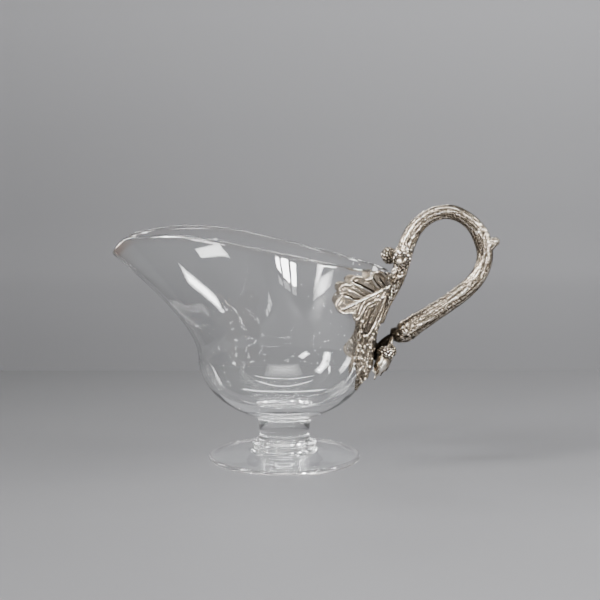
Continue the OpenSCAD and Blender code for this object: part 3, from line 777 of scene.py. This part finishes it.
def cup_piece(node, top, direction, nut_r, seed, darken):
    """Acorn cup covered in rows of overlapping scales, which also crown its rim."""
    dome = [(STALK_R, 0)] + [(CUP_R * math.sin(b), CUP_H * 0.8 * (1 - math.cos(b)))
                             for b in np.radians(np.linspace(20, 88, 16))] + [(CUP_R, CUP_H - 1.0)]
    rim = [(CUP_R - 0.3, CUP_H - 0.25), (CUP_R - 0.9, CUP_H), (nut_r - 0.1, CUP_H - 0.2)]
    inner = [(nut_r - 0.3, CUP_H - 0.9), (nut_r - 0.2, CUP_H - 2.2), (nut_r * 0.7, 1.9), (nut_r * 0.3, 1.3)]
    outer, length = curve_through(dome + rim, CUP_ROWS)
    back, _ = curve_through([outer[-1], *inner], CUP_INNER_ROWS + 1)
    profile = np.vstack([outer, back[1:]])
    grid, th = turned_grid(profile, CUP_COLS)
    normal = unit(np.gradient(profile, axis=0) @ np.array([[0.0, -1.0], [1.0, 0.0]]))
    t = np.concatenate([np.linspace(0, 1, CUP_ROWS), np.ones(CUP_INNER_ROWS)])[:, None]
    w = t * length / SCALE_ROW
    row = np.floor(w)
    u = th / (2 * np.pi) * SCALES_ROUND + 0.5 * (row % 2) + seed + 0.18 * NOISE(row * 1.7, seed, 0.3)
    fx, fy = (u % 1) - 0.5, (w % 1) - 0.5
    bump = np.sqrt(np.maximum(0, 1 - (fx / 0.5) ** 2 - (fy / 0.5) ** 2))
    uneven = 1 + 0.5 * NOISE(np.floor(u) * 1.3, row * 1.9, seed)
    outside = np.concatenate([np.ones(CUP_ROWS), np.zeros(CUP_INNER_ROWS)])[:, None]
    on = outside * smoothstep(0.03, 0.12, t)
    height = (0.75 * bump * uneven - 0.5) * on
    grid[..., 0] += height * normal[:, :1] * np.cos(th)
    grid[..., 1] += height * normal[:, :1] * np.sin(th)
    grid[..., 2] += height * normal[:, 1:]
    wear_and_painted_shade = 0.42 - 0.47 * on + 1.0 * bump ** 2 * on + 0.15 * NOISE(grid[..., 0], grid[..., 1], grid[..., 2])
    wear_and_painted_shade[1 - CUP_INNER_ROWS:] = 0.2
    acorn_part(node, top, direction, grid, 0.0, CUP_FLOOR, wear_and_painted_shade - darken)


def nut_piece(node, top, direction, nut_r, nut_l, darken):
    """Nut seated in its cup, with shallow lengthwise dents and a small dark point."""
    body = CUP_H - 1.6
    full = 0.75 if nut_l < 10 else 0.42  # a long nut keeps its width further along
    tip = CUP_H + nut_l
    seated = [(nut_r * math.sin(b), CUP_FLOOR + (body - CUP_FLOOR) * (1 - math.cos(b)))
              for b in np.radians(np.arange(15, 91, 12.5))]
    shown = [(nut_r * math.cos(b) ** full, body + (nut_l + 0.4) * math.sin(b) * 0.86)
             for b in np.radians(np.arange(10, 76, 8.125))]
    point = [(0.75, body + nut_l * 0.94), (0.5, tip - 0.5), (0.2, tip - 0.15)]
    profile, _ = curve_through([(0.4, CUP_FLOOR + 0.02), *seated, *shown, *point], NUT_ROWS)
    grid, th = turned_grid(profile, NUT_COLS)
    groove = NOISE(np.cos(th) * 2.6 + 0 * profile[:, :1], np.sin(th) * 2.6, profile[:, 1:] * 0.1)
    dent = NOISE(grid[..., 0] * 0.42, grid[..., 1] * 0.42, grid[..., 2] * 0.42 + 4)
    swell = (0.12 * groove + 0.14 * dent - 0.08) / np.maximum(2.0, profile[:, :1])
    grid[..., :2] *= 1 + swell[..., None]
    wear_and_painted_shade = 0.55 - darken + 0.5 * groove + 0.7 * dent
    wear_and_painted_shade -= 0.8 * hump(profile[:, 1:], CUP_H - 0.1, 0.9)
    wear_and_painted_shade -= 0.6 * smoothstep(tip - 1.1, tip - 0.3, profile[:, 1:])
    acorn_part(node, top, direction, grid, CUP_FLOOR, tip - 0.05, wear_and_painted_shade)


for i, (key, (top, direction, root, nut_r, nut_l)) in enumerate(ACORNS.items()):
    top, d, root = np.array(top, float), unit(np.array(direction, float)), np.array(root, float)
    # Painted shade on the far-side acorns
    darken = FAR_PAINTED_SHADE if "right" in key else 0.0
    cup_piece(key + "_cup", top, d, nut_r, 0.3 * i, darken)
    nut_piece(key + "_nut", top, d, nut_r, nut_l, darken)
    # The stalk leaves its root, bends, and meets the cup end on
    rise = np.linalg.norm(top - root) / 3
    middle = root + (top - d * rise - root) * 0.6
    path = [(*root, STALK_R), (*middle, STALK_R), (*(top - d * rise * 0.7), STALK_R * 0.95),
            (*top, STALK_R * 0.95)]
    bark_tube(key + "_stalk_cast", path, 40, 28, key + "_stalk", seed=60.0 + 7 * i, darken=0.05)

# The CAD's own bond layers show under the leaves
for name in ("back_adhesive", "left_adhesive", "right_adhesive"):
    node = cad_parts[name]
    node.data.materials.clear()
    node.data.materials.append(ADHESIVE)

# ---------------------------------------------------------------- table, wall and light
# Lengths are metres from here on.


def range_node(nodes, links, value, start, end, low=0.0, high=1.0, eased=False):
    """Runs from low to high as a value goes from start to end."""
    n = nodes.new("ShaderNodeMapRange")
    if eased:
        n.interpolation_type = "SMOOTHERSTEP"
    for key, number in (("From Min", start), ("From Max", end), ("To Min", low), ("To Max", high)):
        n.inputs[key].default_value = number
    links.new(value, n.inputs["Value"])
    return n.outputs[0]


def backdrop_material(name, axis, stops, sides):
    """Matt grey paper whose tone runs through stops of (position, grey) along an axis: the paper's grey with
    painted light, a gradient that stands in for the lamps' falloff. sides are two of (x, factor) between
    which the tone is scaled, also painted light."""
    m, nodes, links, bsdf, _ = new_material(name)
    split = nodes.new("ShaderNodeSeparateXYZ")
    links.new(nodes.new("ShaderNodeTexCoord").outputs["Object"], split.inputs[0])
    start, end = stops[0][0], stops[-1][0]
    span = range_node(nodes, links, split.outputs[axis], start, end)
    mottle = centred(nodes, links, noise_node(nodes, links, 60.0, 5.0), 0.03)
    fac = math_node(nodes, links, "ADD", span, mottle, clamp=True)
    painted_light_tones = [((p - start) / (end - start), (g, g * 0.998, g * 1.035)) for p, g in stops]
    (left, left_factor), (right, right_factor) = sides
    painted_light_drift = range_node(nodes, links, split.outputs["X"], left, right, left_factor, right_factor)
    scale = nodes.new("ShaderNodeVectorMath")
    scale.operation = "SCALE"
    links.new(ramp_node(nodes, links, fac, painted_light_tones), scale.inputs[0])
    links.new(painted_light_drift, scale.inputs["Scale"])
    links.new(scale.outputs[0], bsdf.inputs["Base Color"])
    bsdf.inputs["Roughness"].default_value = 0.75
    return m


def plane(name, edge, start, end, material):
    """Backdrop sheet from x = -edge to x = edge, and between two places (y, z)."""
    me = bpy.data.meshes.new(name)
    corners = [(-edge, *start), (edge, *start), (edge, *end), (-edge, *end)]
    me.from_pydata(corners, [], [(0, 1, 2, 3)])
    me.materials.append(material)
    o = bpy.data.objects.new(name, me)
    bpy.context.scene.collection.objects.link(o)


TABLE_Z = -0.0003  # just under the foot, so that the two surfaces don't meet
TABLE_FRONT, TABLE_BACK, TABLE_EDGE = -8.0, 0.304, 4.0
WALL_Y, WALL_EDGE, WALL_TOP, WALL_FOOT = 1.3, 0.66, 0.6, 0.0
FLOOR_Z = -0.6
# Painted light: the table's grey darkens towards the back and brightens to the right, for the lamps' falloff
TABLE_GREY_PAINTED_LIGHT = backdrop_material(
    "table_grey_painted_light", "Y", [(-0.4, 0.13), (-0.24, 0.122), (-0.13, 0.112), (-0.05, 0.092), (0.05, 0.078),
                        (0.18, 0.067), (TABLE_BACK, 0.058)], ((-0.25, 0.72), (0.25, 1.62)))
# Painted light: the wall's grey brightens upwards and to the right, for the lamps' falloff
WALL_GREY_PAINTED_LIGHT = backdrop_material(
    "wall_grey_painted_light", "Z", [(-0.173, 0.149), (-0.128, 0.15), (-0.07, 0.158), (0.068, 0.148), (0.206, 0.161),
                       (0.379, 0.194)], ((-0.431, 0.94), (0.431, 1.34)))

plane("table", TABLE_EDGE, (TABLE_FRONT, TABLE_Z), (TABLE_BACK, TABLE_Z), TABLE_GREY_PAINTED_LIGHT)
plane("floor_behind", TABLE_EDGE, (TABLE_BACK, FLOOR_Z), (WALL_Y, FLOOR_Z), WALL_GREY_PAINTED_LIGHT)
plane("wall", WALL_EDGE, (WALL_Y, WALL_FOOT), (WALL_Y, WALL_TOP), WALL_GREY_PAINTED_LIGHT)
plane("wall_foot", TABLE_EDGE, (WALL_Y, FLOOR_Z), (WALL_Y, WALL_FOOT), WALL_GREY_PAINTED_LIGHT)

PANE_RADIANCE, PANE_STEP, PANE_GROWTH = 11, 0.004, 0.9
AIM_Z = 0.08  # height on the object that the light boxes face


def aim_from(azimuth, elevation):
    """Unit vector from the object; azimuth 0 is behind the camera and + is to the right."""
    a, e = math.radians(azimuth), math.radians(elevation)
    return Vector((math.sin(a) * math.cos(e), -math.cos(a) * math.cos(e), math.sin(e)))


def strip_light(name, start, end, width, radiance, distance=1.5, most_panes=6):
    """A flat light box seen from the object as a strip between two directions of (azimuth, elevation), with a
    width in degrees. It is a stack of dimmer panes, because one pane of the same total radiance came out
    greyer when seen through the glass. The panes grow along the stack, which softens the box's edges."""
    one, two = aim_from(*start), aim_from(*end)
    middle = (one + two).normalized()
    long_way = (two - one).normalized()
    turn = Matrix((long_way, middle.cross(long_way), middle)).transposed().to_4x4()
    panes = min(most_panes, math.ceil(radiance / PANE_RADIANCE))
    across = distance * 2 * math.tan(math.radians(width) / 2)
    for i in range(panes):
        grow = across * PANE_GROWTH * ((i + 0.5) / panes - 0.5)
        data = bpy.data.lights.new(f"{name}_{i}", "AREA")
        data.shape = "RECTANGLE"
        data.size = distance * 2 * math.tan(one.angle(two) / 2) + grow
        data.size_y = across + grow
        data.energy = radiance / panes * math.pi * data.size * data.size_y
        o = bpy.data.objects.new(data.name, data)
        o.visible_camera = False
        place = middle * (distance - PANE_STEP * i) + Vector((0, 0, AIM_Z))
        o.matrix_world = Matrix.Translation(place) @ turn
        bpy.context.scene.collection.objects.link(o)


for i, (azimuth, width) in enumerate(((12.7, 2.2), (17.2, 4.4), (22.4, 3.2))):
    strip_light(f"window_right_{i}", (azimuth, -1.9), (azimuth, -0.4), width, 170, most_panes=1)
for i in range(5):
    strip_light(f"window_far_right_{i}", (45, -2.1 - 0.1 * i), (45, -0.3 + 0.25 * i), 5.5 + 2.2 * i, 34,
                most_panes=1)
strip_light("strip_right", (31, 19.3), (60, 34.1), 1.3, 66)
strip_light("box_right", (97, 36), (77, 15), 6, 66)
strip_light("strip_left", (-66, 8), (-75, 50), 7.5, 60)
strip_light("patch_left", (-34, 14), (-26, 26), 7, 60)
strip_light("top_back", (160, 38), (200, 38), 4, 33, 0.52)
strip_light("top_line", (-90, 62), (90, 62), 1.4, 55)
strip_light("side_back_left", (-112, 4), (-112, 30), 8, 22, 0.8)
# The overhead light falls off towards its edges
for i in range(4):
    strip_light(f"overhead_{i}", (-38 + 8 * i, 57), (44 - 8 * i, 57), 34 - 8 * i, 1.8, 1.48 - 0.01 * i)

# A dim surround, with a soft glow behind the camera and another overhead
world = bpy.data.worlds.new("studio")
bpy.context.scene.world = world
world.use_nodes = True
nodes, links = world.node_tree.nodes, world.node_tree.links
split = nodes.new("ShaderNodeSeparateXYZ")
links.new(nodes.new("ShaderNodeTexCoord").outputs["Generated"], split.inputs[0])
front = range_node(nodes, links, split.outputs["Y"], -0.2, -1.0, 0.04, 0.3, eased=True)
above = range_node(nodes, links, split.outputs["Z"], 0.3, 1.0, 0.0, 0.2, eased=True)
links.new(math_node(nodes, links, "ADD", front, above), nodes["Background"].inputs["Strength"])
nodes["Background"].inputs["Color"].default_value = (0.97, 0.98, 1.0, 1)

# ---------------------------------------------------------------- camera
CAM_PLACE = (0.0094, -0.786, 0.1913)
CAM_DOWN = math.radians(6.95)
SENSOR_MM, LENS_MM = 36.0, 79.98
CLIP_NEAR, CLIP_FAR = 0.05, 20
cam_data = bpy.data.cameras.new("camera")
cam_data.sensor_width = SENSOR_MM
cam_data.lens = LENS_MM
cam_data.clip_start, cam_data.clip_end = CLIP_NEAR, CLIP_FAR
camera = bpy.data.objects.new("camera", cam_data)
camera.location = CAM_PLACE
camera.rotation_euler = (math.pi / 2 - CAM_DOWN, 0, 0)
bpy.context.scene.collection.objects.link(camera)
bpy.context.scene.camera = camera
